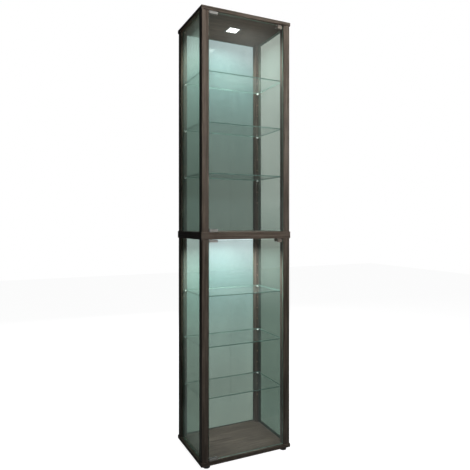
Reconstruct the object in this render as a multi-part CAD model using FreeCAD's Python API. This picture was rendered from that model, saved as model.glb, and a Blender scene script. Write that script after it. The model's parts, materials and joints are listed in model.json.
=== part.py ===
import FreeCAD, Part
import os

# Two-storey glass display cabinet, millimetres.
# Frame: +Z up, +Y to the back, +X to the right when facing the doors.
# Origin: centre of the footprint, on the surface that the feet stand on.

# ---- Driving dimensions ----
WIDTH = 420.0            # boards, left to right
DEPTH = 296.0            # boards, front to back
FOOT_HEIGHT = 10.0
BOARD = 15.0             # thickness of each of the four boards
POST_LENGTH = 905.0
POST = 30.0              # square corner post
OVERHANG = 3.0           # boards stand proud of the posts by this
EDGE_ROUND = 0.8         # edge band and foil-wrapped corners
POST_ROUND = 1.2

# Glass
PANE = 4.0
PANE_SLACK = 0.2         # groove is wider than the pane by this on each side
PANE_SIDE_INSET = 10.0   # post's outer side face to the side pane
PANE_BACK_INSET = 3.0    # post's rear face to the back pane
POST_GROOVE = 6.0
BOARD_GROOVE = 3.0
PANE_SEAT = 0.5          # pane stops short of the groove's bottom by this

# Doors
DOOR_SIDE_GAP = 2.0
DOOR_END_GAP = 4.0
DOOR_SETBACK = 2.0       # door's outer face behind the posts' front faces
PIVOT_INSET = 9.0        # door's hinge edge to the pivot axis
DOOR_CORNER = 1.5

# Hinge clamp
CLAMP_WIDTH = 37.0
CLAMP_REACH = 8.0        # how far the plates come over the glass
CLAMP_FRONT = 2.0
CLAMP_BACK = 3.0
CLAMP_WEB = 1.6
CLAMP_EDGE_INSET = 1.0   # door's hinge edge to the clamp
LINER = 0.8
CLAMP_SCREW_R = 2.0
CLAMP_SCREW_INSET = (10.0, 28.0)
CLAMP_SCREW_PROUD = 1.2
PIN_R = 2.45
PIN_DEPTH = 9.0          # pivot pin's length inside the bush
BUSH_BORE_R = 2.5
BUSH_R = 4.0
BUSH_DEPTH = 10.0
BUSH_FLANGE_R = 6.0
BUSH_FLANGE = 0.8

# Magnetic catch
STRIKE_WIDTH = 18.0
STRIKE_REACH = 13.0
STRIKE_WALL = 1.0
STRIKE_EDGE_INSET = 7.0
CATCH_SIZE = (34.0, 14.0, 13.0)
CATCH_GAP = 0.5
CATCH_LINER = 1.6
MAGNET_SIZE = (18.0, 10.0, 8.0)
CATCH_ROUND = 1.5
CATCH_SCREW_R = 1.5
CATCH_SCREW_IN = 9.0
CATCH_HEAD_R = 2.8
CATCH_HEAD = 1.6

# Shelves
SHELF = 4.0
SHELF_CLEAR = 3.0
SHELF_CORNER = 2.0
SHELF_PITCH = 212.0
HOLES_PER_SHELF = 4
HOLE_ROWS = 6            # holes above and below the middle one
HOLE_R = 2.6
HOLE_DEPTH = 9.0
HOLE_INSET = 21.5        # post's outer side face to the row of holes
SHELF_PIN_R = 2.5
SHELF_PIN_IN = 8.0
SHELF_PIN_OUT = 8.5
SHELF_PIN_FLAT = 2.0     # flat seat above the pin's axis
COLLAR_R = 3.6
COLLAR = 1.2

# Fittings
SCREW_OFFSET = (5.0, 3.0)    # from the post's axis, outward in X and Y
DOWEL_OFFSET = (6.0, 2.0)    # from the post's axis, inward in X and Y
SCREW_R = 2.5
SCREW_NECK_R = 3.5
SCREW_HEAD_R = 5.0
SCREW_HEAD = 3.0
SCREW_SOCKET_R = 2.0
SCREW_IN_POST = 36.0
DOWEL_R = 4.0
DOWEL_IN_BOARD = 9.0
DOWEL_IN_POST = 20.0
STACK_DOWEL_AT = (180.0, 70.0)
STACK_DOWEL_IN = 10.0
CAP_R = 6.5
CAP = 1.2
CAP_ROUND = 0.3

# Feet
FOOT_R = 15.0
FOOT_INSET = (28.0, 16.5)    # from the boards' side and front edges
FOOT_CHAMFER = 1.5
FOOT_SCREW_R = 2.0
FOOT_HEAD_R = 4.0
FOOT_HEAD = 2.5
FOOT_RECESS = 5.0
FOOT_SLOT = 1.0
FOOT_SCREW_IN = 5.5

# Recessed lamp in the underside of each storey's top board
BEZEL = 62.0
BEZEL_THICK = 1.6
BEZEL_ROUND = 3.0
LAMP_CAN = 54.0
LAMP_DEPTH = 9.0
LAMP_WALL = 1.5
DIFFUSER = 48.0
DIFFUSER_THICK = 2.0
DIFFUSER_LIP = 1.0
LED_BOARD = 44.0
LED_BOARD_THICK = 1.6
LED_SIZE = 3.0
LED_THICK = 0.8
LED_PITCH = 12.0
LEAD_HOLE_R = 2.5
GROMMET_R = 4.5
GROMMET = 1.0
GROMMET_SLEEVE = 6.0
LEAD_R = 1.5

# ---- Derived places ----
STOREYS = ("lower", "upper")
SIDES = {"left": -1, "right": 1}
ENDS = {"front": -1, "rear": 1}
STOREY_HEIGHT = POST_LENGTH + 2 * BOARD
SEAM_Z = FOOT_HEIGHT + STOREY_HEIGHT
TOP_Z = SEAM_Z + STOREY_HEIGHT
FLOOR_Z = {"lower": FOOT_HEIGHT + BOARD, "upper": SEAM_Z + BOARD}
CEILING_Z = {storey: z + POST_LENGTH for storey, z in FLOOR_Z.items()}
POST_FACE_X = WIDTH / 2 - OVERHANG
POST_FACE_Y = DEPTH / 2 - OVERHANG
POST_INNER_X = POST_FACE_X - POST
POST_INNER_Y = POST_FACE_Y - POST
POST_X = POST_FACE_X - POST / 2
POST_Y = POST_FACE_Y - POST / 2
SIDE_PANE_X = POST_FACE_X - PANE_SIDE_INSET - PANE / 2
BACK_PANE_Y = POST_FACE_Y - PANE_BACK_INSET - PANE / 2
DOOR_X = POST_INNER_X - DOOR_SIDE_GAP
DOOR_Y = -(POST_FACE_Y - DOOR_SETBACK - PANE / 2)
PIVOT_X = -DOOR_X + PIVOT_INSET
HOLE_X = POST_FACE_X - HOLE_INSET
HOLE_PITCH = SHELF_PITCH / HOLES_PER_SHELF
PIN_HEIGHTS = {"bottom": POST_LENGTH / 2 - SHELF_PITCH, "middle": POST_LENGTH / 2,
               "top": POST_LENGTH / 2 + SHELF_PITCH}
CLAMP_HALF = PANE / 2 + LINER
STRIKE_RIGHT = DOOR_X - STRIKE_EDGE_INSET
CATCH_X = STRIKE_RIGHT - STRIKE_WIDTH / 2
CATCH_Y = DOOR_Y + PANE / 2 + STRIKE_WALL + CATCH_GAP + CATCH_SIZE[1] / 2
UP = FreeCAD.Vector(0, 0, 1)


# ---- Shape helpers ----
def box(x0, x1, y0, y1, z0, z1):
    """A box between opposite corners, given in any order."""
    low = FreeCAD.Vector(min(x0, x1), min(y0, y1), min(z0, z1))
    return Part.makeBox(abs(x1 - x0), abs(y1 - y0), abs(z1 - z0), low)


def plate(size_x, size_y, z0, z1, at=(0.0, 0.0)):
    """A flat piece centred on a point in plan."""
    return box(at[0] - size_x / 2, at[0] + size_x / 2, at[1] - size_y / 2, at[1] + size_y / 2, z0, z1)


def rod(radius, x, y, z0, z1):
    """A vertical cylinder."""
    return Part.makeCylinder(radius, abs(z1 - z0), FreeCAD.Vector(x, y, min(z0, z1)), UP)


def rod_y(radius, x, z, y0, y1):
    """A cylinder that runs front to back."""
    return Part.makeCylinder(radius, abs(y1 - y0), FreeCAD.Vector(x, min(y0, y1), z), FreeCAD.Vector(0, 1, 0))


def cone(radius0, radius1, x, y, z0, z1):
    """A vertical cone from radius0 at z0 to radius1 at z1, with z0 below or above z1."""
    direction = UP if z1 > z0 else UP * -1
    return Part.makeCone(radius0, radius1, abs(z1 - z0), FreeCAD.Vector(x, y, z0), direction)


def soften(shape, radius, keep):
    """Round the straight edges that keep(edge direction, edge middle) picks."""
    edges = [e for e in shape.Edges
             if keep(e.tangentAt(e.FirstParameter), e.CenterOfMass)]
    return shape.makeFillet(radius, edges)


def along(axis):
    """Pick the edges that run along one axis: 0 for X, 1 for Y, 2 for Z."""
    return lambda direction, middle: abs(direction[axis]) > 0.99


def corners():
    """The four corners as signs (left or right, front or rear)."""
    return [(sx, sy) for sx in SIDES.values() for sy in ENDS.values()]


def post_fixings(sx, sy):
    """Plan positions of a post's screw and of its dowel."""
    screw = (sx * (POST_X + SCREW_OFFSET[0]), sy * (POST_Y + SCREW_OFFSET[1]))
    dowel = (sx * (POST_X - DOWEL_OFFSET[0]), sy * (POST_Y - DOWEL_OFFSET[1]))
    return screw, dowel


# ---- Frame ----
def board(z0, ceiling):
    """One board; a ceiling board has the posts, the lamp and the catch on its underside."""
    z1 = z0 + BOARD
    inner, outer, into = (z0, z1, 1) if ceiling else (z1, z0, -1)
    body = plate(WIDTH, DEPTH, z0, z1)
    body = soften(body, EDGE_ROUND, lambda direction, middle: True)
    cuts = [rod(BUSH_R, PIVOT_X, DOOR_Y, inner, inner + into * BUSH_DEPTH)]
    for sx, sy in corners():
        screw, dowel = post_fixings(sx, sy)
        cuts.append(rod(SCREW_NECK_R, *screw, z0, z1))
        sunk = outer - into * CAP
        cuts.append(rod(CAP_R, *screw, outer, sunk))
        cuts.append(cone(SCREW_HEAD_R, SCREW_NECK_R, *screw, sunk, sunk - into * SCREW_HEAD))
        cuts.append(rod(DOWEL_R, *dowel, inner, inner + into * DOWEL_IN_BOARD))
    reach_y = POST_INNER_Y + POST_GROOVE
    reach_x = POST_INNER_X + POST_GROOVE
    half = PANE / 2 + PANE_SLACK
    for sx in SIDES.values():
        cuts.append(box(sx * (SIDE_PANE_X - half), sx * (SIDE_PANE_X + half), -reach_y, reach_y,
                        inner, inner + into * BOARD_GROOVE))
    cuts.append(box(-reach_x, reach_x, BACK_PANE_Y - half, BACK_PANE_Y + half,
                    inner, inner + into * BOARD_GROOVE))
    if ceiling:
        cuts.append(plate(LAMP_CAN, LAMP_CAN, z0, z0 + LAMP_DEPTH))
        cuts.append(rod_y(LEAD_HOLE_R, 0, z0 + BOARD / 2, LAMP_CAN / 2 - 1, DEPTH / 2))
        cuts.append(rod_y(GROMMET_R, 0, z0 + BOARD / 2, DEPTH / 2 - GROMMET, DEPTH / 2))
        cuts.extend(rod(CATCH_SCREW_R, *at, z0, z0 + CATCH_SCREW_IN) for at in catch_screw_places())
    return body.cut(cuts)


def bottom_board():
    holes = [rod(FOOT_SCREW_R, *at, FOOT_HEIGHT, FOOT_HEIGHT + FOOT_SCREW_IN) for at in foot_places()]
    return board(FOOT_HEIGHT, ceiling=False).cut(holes)


def stack_holes():
    """Holes for the dowels between the storeys, on both sides of the seam."""
    x, y = STACK_DOWEL_AT
    return [rod(DOWEL_R, sx * x, sy * y, SEAM_Z - STACK_DOWEL_IN, SEAM_Z + STACK_DOWEL_IN)
            for sx, sy in corners()]


def lower_top_board():
    return board(SEAM_Z - BOARD, ceiling=True).cut(stack_holes())


def upper_bottom_board():
    return board(SEAM_Z, ceiling=False).cut(stack_holes())


def top_board():
    return board(TOP_Z - BOARD, ceiling=True)


def post(storey, sx, sy):
    """A corner post with its pane grooves, its row of shelf holes and its end drillings."""
    z0 = FLOOR_Z[storey]
    z1 = z0 + POST_LENGTH
    body = plate(POST, POST, z0, z1, (sx * POST_X, sy * POST_Y))
    body = soften(body, POST_ROUND, along(2))
    half = PANE / 2 + PANE_SLACK
    cuts = [box(sx * (SIDE_PANE_X - half), sx * (SIDE_PANE_X + half),
                sy * (POST_INNER_Y - 1), sy * (POST_INNER_Y + POST_GROOVE), z0, z1)]
    if sy > 0:
        cuts.append(box(sx * (POST_INNER_X - 1), sx * (POST_INNER_X + POST_GROOVE),
                        BACK_PANE_Y - half, BACK_PANE_Y + half, z0, z1))
    middle = z0 + POST_LENGTH / 2
    for row in range(-HOLE_ROWS, HOLE_ROWS + 1):
        cuts.append(rod_y(HOLE_R, sx * HOLE_X, middle + row * HOLE_PITCH,
                          sy * (POST_INNER_Y - 1), sy * (POST_INNER_Y + HOLE_DEPTH)))
    screw, dowel = post_fixings(sx, sy)
    for end, into in ((z0, 1), (z1, -1)):
        cuts.append(rod(SCREW_R, *screw, end, end + into * (SCREW_IN_POST + 1)))
        cuts.append(rod(DOWEL_R, *dowel, end, end + into * (DOWEL_IN_POST + 1)))
    return body.cut(cuts)


# ---- Glass ----
def pane_heights(storey):
    """Bottom and top of a pane that stands in the boards' grooves."""
    seat = BOARD_GROOVE - PANE_SEAT
    return FLOOR_Z[storey] - seat, CEILING_Z[storey] + seat


def side_pane(storey, sx):
    reach = POST_INNER_Y + POST_GROOVE - PANE_SEAT
    return box(sx * (SIDE_PANE_X - PANE / 2), sx * (SIDE_PANE_X + PANE / 2), -reach, reach,
               *pane_heights(storey))


def back_pane(storey):
    reach = POST_INNER_X + POST_GROOVE - PANE_SEAT
    return box(-reach, reach, BACK_PANE_Y - PANE / 2, BACK_PANE_Y + PANE / 2, *pane_heights(storey))


def shelf(storey, level):
    z0 = FLOOR_Z[storey] + PIN_HEIGHTS[level] + SHELF_PIN_FLAT
    reach_x = SIDE_PANE_X - PANE / 2 - SHELF_CLEAR
    reach_y = POST_INNER_Y - SHELF_CLEAR
    return soften(box(-reach_x, reach_x, -reach_y, reach_y, z0, z0 + SHELF), SHELF_CORNER, along(2))


def shelf_pins(storey):
    """Pins with a collar and a flat seat, two at each end of every shelf."""
    pins = []
    for height in PIN_HEIGHTS.values():
        z = FLOOR_Z[storey] + height
        for sx, sy in corners():
            x = sx * HOLE_X
            inside = sy * (POST_INNER_Y + SHELF_PIN_IN)
            face = sy * POST_INNER_Y
            tip = sy * (POST_INNER_Y - SHELF_PIN_OUT)
            shank = rod_y(SHELF_PIN_R, x, z, inside, face)
            collar = rod_y(COLLAR_R, x, z, face, face - sy * COLLAR)
            seat = rod_y(SHELF_PIN_R, x, z, face - sy * COLLAR, tip)
            above = box(x - SHELF_PIN_R, x + SHELF_PIN_R, face - sy * COLLAR, tip,
                        z + SHELF_PIN_FLAT, z + SHELF_PIN_R + 1)
            pins.append(shank.fuse([collar, seat.cut(above)]))
    return Part.makeCompound(pins)


# ---- Fittings between boards and posts ----
def storey_ends(storey):
    """Each storey's post ends: height, and the direction into the post."""
    return ((FLOOR_Z[storey], 1), (CEILING_Z[storey], -1))


def frame_screws(storey):
    """Countersunk connecting screws, through a board into the end of each post."""
    screws = []
    for end, into in storey_ends(storey):
        sunk = end - into * (BOARD - CAP)
        for sx, sy in corners():
            at, _ = post_fixings(sx, sy)
            head = cone(SCREW_HEAD_R, SCREW_NECK_R, *at, sunk, sunk + into * SCREW_HEAD)
            neck = rod(SCREW_NECK_R, *at, sunk + into * SCREW_HEAD, end)
            shank = rod(SCREW_R, *at, end, end + into * SCREW_IN_POST)
            socket = rod(SCREW_SOCKET_R, *at, sunk, sunk + into * SCREW_HEAD)
            screws.append(head.fuse([neck, shank]).cut(socket))
    return Part.makeCompound(screws)


def frame_dowels(storey):
    dowels = []
    for end, into in storey_ends(storey):
        for sx, sy in corners():
            _, at = post_fixings(sx, sy)
            dowels.append(rod(DOWEL_R, *at, end - into * DOWEL_IN_BOARD, end + into * DOWEL_IN_POST))
    return Part.makeCompound(dowels)


def stacking_dowels():
    """Dowels that keep the upper storey in line with the lower one."""
    reach = STACK_DOWEL_IN - 1
    x, y = STACK_DOWEL_AT
    return Part.makeCompound([rod(DOWEL_R, sx * x, sy * y, SEAM_Z - reach, SEAM_Z + reach)
                              for sx, sy in corners()])


def screw_caps():
    """Plastic caps over the screw heads, let in flush with the top face."""
    caps = []
    for sx, sy in corners():
        at, _ = post_fixings(sx, sy)
        disc = rod(CAP_R, *at, TOP_Z - CAP, TOP_Z)
        disc = soften(disc, CAP_ROUND, lambda direction, middle: middle.z > TOP_Z - CAP / 2)
        caps.append(disc.fuse(rod(SCREW_SOCKET_R, *at, TOP_Z - CAP - SCREW_HEAD, TOP_Z - CAP)))
    return Part.makeCompound(caps)


# ---- Feet ----
def foot_places():
    x = WIDTH / 2 - FOOT_INSET[0]
    y = DEPTH / 2 - FOOT_INSET[1]
    return [(sx * x, sy * y) for sx, sy in corners()]


def feet():
    """Round glides, each with a hole and a recess for its screw."""
    glides = []
    for at in foot_places():
        disc = cone(FOOT_R - FOOT_CHAMFER, FOOT_R, *at, 0, FOOT_CHAMFER)
        disc = disc.fuse(rod(FOOT_R, *at, FOOT_CHAMFER, FOOT_HEIGHT)).removeSplitter()
        disc = disc.cut([rod(FOOT_SCREW_R, *at, 0, FOOT_HEIGHT), rod(FOOT_HEAD_R, *at, 0, FOOT_RECESS)])
        glides.append(disc)
    return Part.makeCompound(glides)


def foot_screws():
    screws = []
    for at in foot_places():
        head = rod(FOOT_HEAD_R, *at, FOOT_RECESS - FOOT_HEAD, FOOT_RECESS)
        shank = rod(FOOT_SCREW_R, *at, FOOT_RECESS, FOOT_HEIGHT + FOOT_SCREW_IN)
        slot = plate(2 * FOOT_HEAD_R, FOOT_SLOT, FOOT_RECESS - FOOT_HEAD, FOOT_RECESS - FOOT_HEAD / 2, at)
        screws.append(head.fuse(shank).cut(slot))
    return Part.makeCompound(screws)


# ---- Doors and hinges ----
def door_ends(storey):
    """The door pane's bottom and top edges, each with the direction out of the pane."""
    return {"bottom": (FLOOR_Z[storey] + DOOR_END_GAP, -1), "top": (CEILING_Z[storey] - DOOR_END_GAP, 1)}


def door_pane(storey):
    ends = door_ends(storey)
    pane = box(-DOOR_X, DOOR_X, DOOR_Y - PANE / 2, DOOR_Y + PANE / 2, ends["bottom"][0], ends["top"][0])
    return soften(pane, DOOR_CORNER, along(1))


def channel(x0, x1, edge, out, half, front, back, web, reach):
    """A channel that sits over the door's edge, half away from the glass's middle plane."""
    outside = box(x0, x1, DOOR_Y - half - front, DOOR_Y + half + back, edge - out * reach, edge + out * web)
    inside = box(x0 - 1, x1 + 1, DOOR_Y - half, DOOR_Y + half, edge - out * (reach + 1), edge)
    return outside.cut(inside)


def hinge_liner(edge, out):
    """The soft liner between a clamp and the glass."""
    left = -DOOR_X + CLAMP_EDGE_INSET
    return channel(left, left + CLAMP_WIDTH, edge, out, PANE / 2, LINER, LINER, LINER, CLAMP_REACH)


def clamp_screw_places(edge, out):
    left = -DOOR_X + CLAMP_EDGE_INSET
    return [(left + inset, edge - out * CLAMP_REACH / 2) for inset in CLAMP_SCREW_INSET]


def hinge_clamp(storey, end):
    edge, out = door_ends(storey)[end]
    left = -DOOR_X + CLAMP_EDGE_INSET
    body = channel(left, left + CLAMP_WIDTH, edge + out * LINER, out, CLAMP_HALF,
                   CLAMP_FRONT, CLAMP_BACK, CLAMP_WEB, CLAMP_REACH + LINER)
    holes = [rod(PIN_R, PIVOT_X, DOOR_Y, edge, edge + out * (LINER + CLAMP_WEB))]
    for x, z in clamp_screw_places(edge, out):
        holes.append(rod_y(CLAMP_SCREW_R, x, z, DOOR_Y + CLAMP_HALF, DOOR_Y + CLAMP_HALF + CLAMP_BACK))
    return body.cut(holes)


def clamp_screws(storey):
    """Grub screws in the clamps' inner plates, pressing on the liners."""
    start = DOOR_Y + CLAMP_HALF
    stop = start + CLAMP_BACK + CLAMP_SCREW_PROUD
    screws = []
    for edge, out in door_ends(storey).values():
        for x, z in clamp_screw_places(edge, out):
            socket = rod_y(CLAMP_SCREW_R / 2, x, z, stop - CLAMP_SCREW_PROUD, stop)
            screws.append(rod_y(CLAMP_SCREW_R, x, z, start, stop).cut(socket))
    return Part.makeCompound(screws)


def pivot_pins(storey):
    return Part.makeCompound([rod(PIN_R, PIVOT_X, DOOR_Y, edge + out * LINER,
                                  edge + out * (DOOR_END_GAP + PIN_DEPTH))
                              for edge, out in door_ends(storey).values()])


def pivot_bushes(storey):
    """Flanged bushes pressed into the boards."""
    bushes = []
    for edge, out in door_ends(storey).values():
        face = edge + out * DOOR_END_GAP
        tube = rod(BUSH_R, PIVOT_X, DOOR_Y, face, face + out * BUSH_DEPTH)
        flange = rod(BUSH_FLANGE_R, PIVOT_X, DOOR_Y, face - out * BUSH_FLANGE, face)
        bore = rod(BUSH_BORE_R, PIVOT_X, DOOR_Y, face - out * BUSH_FLANGE, face + out * BUSH_DEPTH)
        bushes.append(tube.fuse(flange).cut(bore))
    return Part.makeCompound(bushes)


# ---- Catches ----
def strike_clip(storey):
    """Steel clip over the glass's top edge, that the magnet holds."""
    edge, out = door_ends(storey)["top"]
    return channel(STRIKE_RIGHT - STRIKE_WIDTH, STRIKE_RIGHT, edge, out, PANE / 2,
                   STRIKE_WALL, STRIKE_WALL, STRIKE_WALL, STRIKE_REACH)


def magnet_box(storey):
    """The magnet's place in the catch, open towards the door."""
    width, depth, height = MAGNET_SIZE
    front = CATCH_Y - CATCH_SIZE[1] / 2
    z1 = CEILING_Z[storey] - CATCH_LINER
    return box(CATCH_X - width / 2, CATCH_X + width / 2, front, front + depth, z1 - height, z1)


def catch_screw_places():
    inset = (CATCH_SIZE[0] + MAGNET_SIZE[0]) / 4
    return [(CATCH_X - inset, CATCH_Y), (CATCH_X + inset, CATCH_Y)]


def catch_housing(storey):
    width, depth, drop = CATCH_SIZE
    z1 = CEILING_Z[storey]
    body = soften(plate(width, depth, z1 - drop, z1, (CATCH_X, CATCH_Y)), CATCH_ROUND, along(2))
    holes = [rod(CATCH_SCREW_R, *at, z1 - drop, z1) for at in catch_screw_places()]
    return body.cut(holes + [magnet_box(storey)])


def catch_magnets():
    return Part.makeCompound([magnet_box(storey) for storey in STOREYS])


def catch_screws():
    """Panhead screws up through the catches into the boards."""
    screws = []
    for z1 in CEILING_Z.values():
        low = z1 - CATCH_SIZE[2]
        for at in catch_screw_places():
            head = rod(CATCH_HEAD_R, *at, low - CATCH_HEAD, low)
            screws.append(head.fuse(rod(CATCH_SCREW_R, *at, low, z1 + CATCH_SCREW_IN)))
    return Part.makeCompound(screws)


# ---- Lamps ----
def lamp_housing(storey):
    """A square can in the board, with a thin bezel below it."""
    z = CEILING_Z[storey]
    bezel = plate(BEZEL, BEZEL, z - BEZEL_THICK, z)
    bezel = soften(bezel, BEZEL_ROUND, along(2))
    can = plate(LAMP_CAN, LAMP_CAN, z, z + LAMP_DEPTH)
    hollow = plate(LAMP_CAN - 2 * LAMP_WALL, LAMP_CAN - 2 * LAMP_WALL, z, z + LAMP_DEPTH - LAMP_WALL)
    window = plate(DIFFUSER, DIFFUSER, z - BEZEL_THICK, z)
    lead = rod_y(LEAD_R, 0, z + BOARD / 2 - 1, LAMP_CAN / 2 - LAMP_WALL - 1, LAMP_CAN / 2)
    return bezel.fuse(can).cut([hollow, window, lead])


def lamp_diffuser(storey):
    """Opal square behind the bezel's window, with a lip that rests on the bezel."""
    z = CEILING_Z[storey]
    window = plate(DIFFUSER, DIFFUSER, z - BEZEL_THICK / 2, z)
    lip = plate(DIFFUSER + 2 * DIFFUSER_LIP, DIFFUSER + 2 * DIFFUSER_LIP, z, z + DIFFUSER_THICK)
    return lip.fuse(window)


def led_boards():
    """Each lamp's board with its grid of light-emitting chips facing down."""
    boards = []
    for storey in STOREYS:
        z1 = CEILING_Z[storey] + LAMP_DEPTH - LAMP_WALL
        z0 = z1 - LED_BOARD_THICK
        body = plate(LED_BOARD, LED_BOARD, z0, z1)
        chips = [plate(LED_SIZE, LED_SIZE, z0 - LED_THICK, z0, (i * LED_PITCH, j * LED_PITCH))
                 for i in (-1, 0, 1) for j in (-1, 0, 1)]
        boards.append(body.fuse(chips))
    return Part.makeCompound(boards)


def lead_grommets():
    """Plastic glands let into the rear edges, where the lamps' leads come out."""
    glands = []
    for storey in STOREYS:
        z = CEILING_Z[storey] + BOARD / 2
        flange = rod_y(GROMMET_R, 0, z, DEPTH / 2 - GROMMET, DEPTH / 2)
        sleeve = rod_y(LEAD_HOLE_R, 0, z, DEPTH / 2 - GROMMET_SLEEVE, DEPTH / 2)
        bore = rod_y(LEAD_R, 0, z, DEPTH / 2 - GROMMET_SLEEVE, DEPTH / 2)
        glands.append(flange.fuse(sleeve).cut(bore))
    return Part.makeCompound(glands)


# ---- The whole cabinet ----
def all_parts():
    parts = {
        "bottom_board": bottom_board(),
        "lower_top_board": lower_top_board(),
        "upper_bottom_board": upper_bottom_board(),
        "top_board": top_board(),
        "stacking_dowels": stacking_dowels(),
        "screw_caps": screw_caps(),
        "feet": feet(),
        "foot_screws": foot_screws(),
        "catch_magnets": catch_magnets(),
        "catch_screws": catch_screws(),
        "led_boards": led_boards(),
        "lead_grommets": lead_grommets(),
    }
    for storey in STOREYS:
        for side, sx in SIDES.items():
            for end, sy in ENDS.items():
                parts[f"{storey}_post_{end}_{side}"] = post(storey, sx, sy)
            parts[f"{storey}_side_pane_{side}"] = side_pane(storey, sx)
        parts[f"{storey}_back_pane"] = back_pane(storey)
        for level in PIN_HEIGHTS:
            parts[f"{storey}_shelf_{level}"] = shelf(storey, level)
        parts[f"{storey}_shelf_pins"] = shelf_pins(storey)
        parts[f"{storey}_frame_screws"] = frame_screws(storey)
        parts[f"{storey}_frame_dowels"] = frame_dowels(storey)
        parts[f"{storey}_door_pane"] = door_pane(storey)
        for end, (edge, out) in door_ends(storey).items():
            parts[f"{storey}_door_clamp_{end}"] = hinge_clamp(storey, end)
        parts[f"{storey}_door_liners"] = Part.makeCompound(
            [hinge_liner(edge, out) for edge, out in door_ends(storey).values()])
        parts[f"{storey}_door_clamp_screws"] = clamp_screws(storey)
        parts[f"{storey}_door_pivot_pins"] = pivot_pins(storey)
        parts[f"{storey}_pivot_bushes"] = pivot_bushes(storey)
        parts[f"{storey}_door_strike_clip"] = strike_clip(storey)
        parts[f"{storey}_catch_housing"] = catch_housing(storey)
        parts[f"{storey}_lamp_housing"] = lamp_housing(storey)
        parts[f"{storey}_lamp_diffuser"] = lamp_diffuser(storey)
    return parts


os.makedirs("parts", exist_ok=True)
for name, shape in all_parts().items():
    shape.exportStep(f"parts/{name}.step")
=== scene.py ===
import json
import math

import bmesh
import bpy
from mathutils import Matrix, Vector


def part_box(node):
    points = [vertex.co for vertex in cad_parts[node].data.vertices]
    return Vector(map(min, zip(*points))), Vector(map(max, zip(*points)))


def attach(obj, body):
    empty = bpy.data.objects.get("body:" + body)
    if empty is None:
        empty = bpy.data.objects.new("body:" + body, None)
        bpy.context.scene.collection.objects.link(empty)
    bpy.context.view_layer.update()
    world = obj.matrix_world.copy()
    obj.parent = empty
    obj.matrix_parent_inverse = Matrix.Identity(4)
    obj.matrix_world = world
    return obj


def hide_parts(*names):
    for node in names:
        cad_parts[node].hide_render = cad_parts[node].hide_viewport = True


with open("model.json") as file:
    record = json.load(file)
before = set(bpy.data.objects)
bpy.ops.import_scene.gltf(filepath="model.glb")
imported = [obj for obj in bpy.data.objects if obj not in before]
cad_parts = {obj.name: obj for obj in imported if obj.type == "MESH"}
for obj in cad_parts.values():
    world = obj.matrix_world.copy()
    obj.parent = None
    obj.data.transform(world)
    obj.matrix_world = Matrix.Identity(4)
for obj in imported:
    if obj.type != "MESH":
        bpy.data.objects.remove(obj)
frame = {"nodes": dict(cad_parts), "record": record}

bl_info = {
    "name": "Glass Display Cabinet",
    "version": (1, 0, 0),
    "blender": (4, 5, 0),
    "location": "3D View > Sidebar > Cabinet",
    "description": "Detailed pieces, finishes and studio for a lit glass display cabinet",
    "category": "Add Mesh",
}

MM = 0.001
X, Y, Z = 0, 1, 2
STOREYS = ("lower", "upper")
SIDES = ("left", "right")
ENDS = ("front", "rear")
LEVELS = ("bottom", "middle", "top")
CEILINGS = {"lower": "lower_top_board", "upper": "top_board"}
FLOORS = {"lower": "bottom_board", "upper": "upper_bottom_board"}

# ---- Places taken from the frame ----
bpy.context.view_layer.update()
FLOOR_Z = {storey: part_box(node)[1].z for storey, node in FLOORS.items()}
CEILING_Z = {storey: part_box(node)[0].z for storey, node in CEILINGS.items()}
STOREY_STEP = FLOOR_Z["upper"] - FLOOR_Z["lower"]
POST_LENGTH = CEILING_Z["lower"] - FLOOR_Z["lower"]

# ---- Sizes of the finer shapes ----
SLACK = 0.2 * MM             # groove beside a pane
BOARD_GROOVE = 3 * MM
POST_GROOVE = 6 * MM
SCREW_NECK = 3.5 * MM
SCREW_HEAD = 5.0 * MM
SCREW_HEAD_DEPTH = 3.0 * MM
CAP_RADIUS = 6.5 * MM
CAP = 1.2 * MM
HOLE_RADIUS = 2.6 * MM
HOLE_DEPTH = 9 * MM
HOLE_PITCH = 53 * MM
HOLE_ROWS = 6
PIN_RADIUS = 2.5 * MM
BUSH_RADIUS = 4.0 * MM
BUSH_DEPTH = 10 * MM
GROMMET_RADIUS = 4.5 * MM
LEAD_RADIUS = 2.5 * MM
HINGE_LINER = 0.8 * MM
GRUB = 2.0 * MM              # grub screw radius
GRUB_HOLE = 2.1 * MM
LAMP_WALL = 1.5 * MM
LAMP_CAN = 2 * MM            # from the diffuser's edge to the can's outside
MARGIN = 1 * MM              # how far a cutter runs past the face that it opens

# ---- Heights where the painted shade on the right side glass fades out ----
PAINTED_SHADE_LOW, PAINTED_SHADE_HIGH = 0.58, 1.10

# ---- Studio lights: place, aim and size ----
KEY_LIGHT = ((0.0, -1.7, 1.48), (0, 0, 1.35), (0.6, 0.6))
SIDE_LIGHT = ((1.9, -1.5, 1.95), (0, 0, 1.80), (0.8, 0.8))
REAR_LIGHT = ((0.3, 2.6, 1.9), (0, 0, 1.0), (1.0, 1.0))
FLANK_LIGHT = ((2.6, 0.4, 1.1), (0, 0, 1.0), (1.0, 1.0))
SIDE_SPREAD = 48             # degrees
LAMP_SPREAD = 156            # degrees
LAMP_GAP = 3 * MM
LAMP_WIDENING = 1.8          # a lamp's light against half its diffuser's width
BOUNCE_HEIGHT = 0.68         # above a storey's floor, aimed at its ceiling
WASH_HEIGHT = 0.16           # above a storey's floor, aimed down
BOUNCE_SIZE = (0.30, 0.20)
BOUNCE_COLOUR = (1.0, 0.82, 0.70)
WASH_COLOUR = (0.90, 0.97, 1.0)


# ---- Settings that a user would change ----
def colour_setting(name, description, default):
    return bpy.props.FloatVectorProperty(name=name, description=description, default=default,
                                         subtype="COLOR", size=3, min=0, max=1)


def length_setting(name, description, default):
    return bpy.props.FloatProperty(name=name, description=description, default=default, unit="LENGTH",
                                   min=0)


def power_setting(name, description, default):
    return bpy.props.FloatProperty(name=name, description=description, default=default, unit="POWER", min=0)


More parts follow.
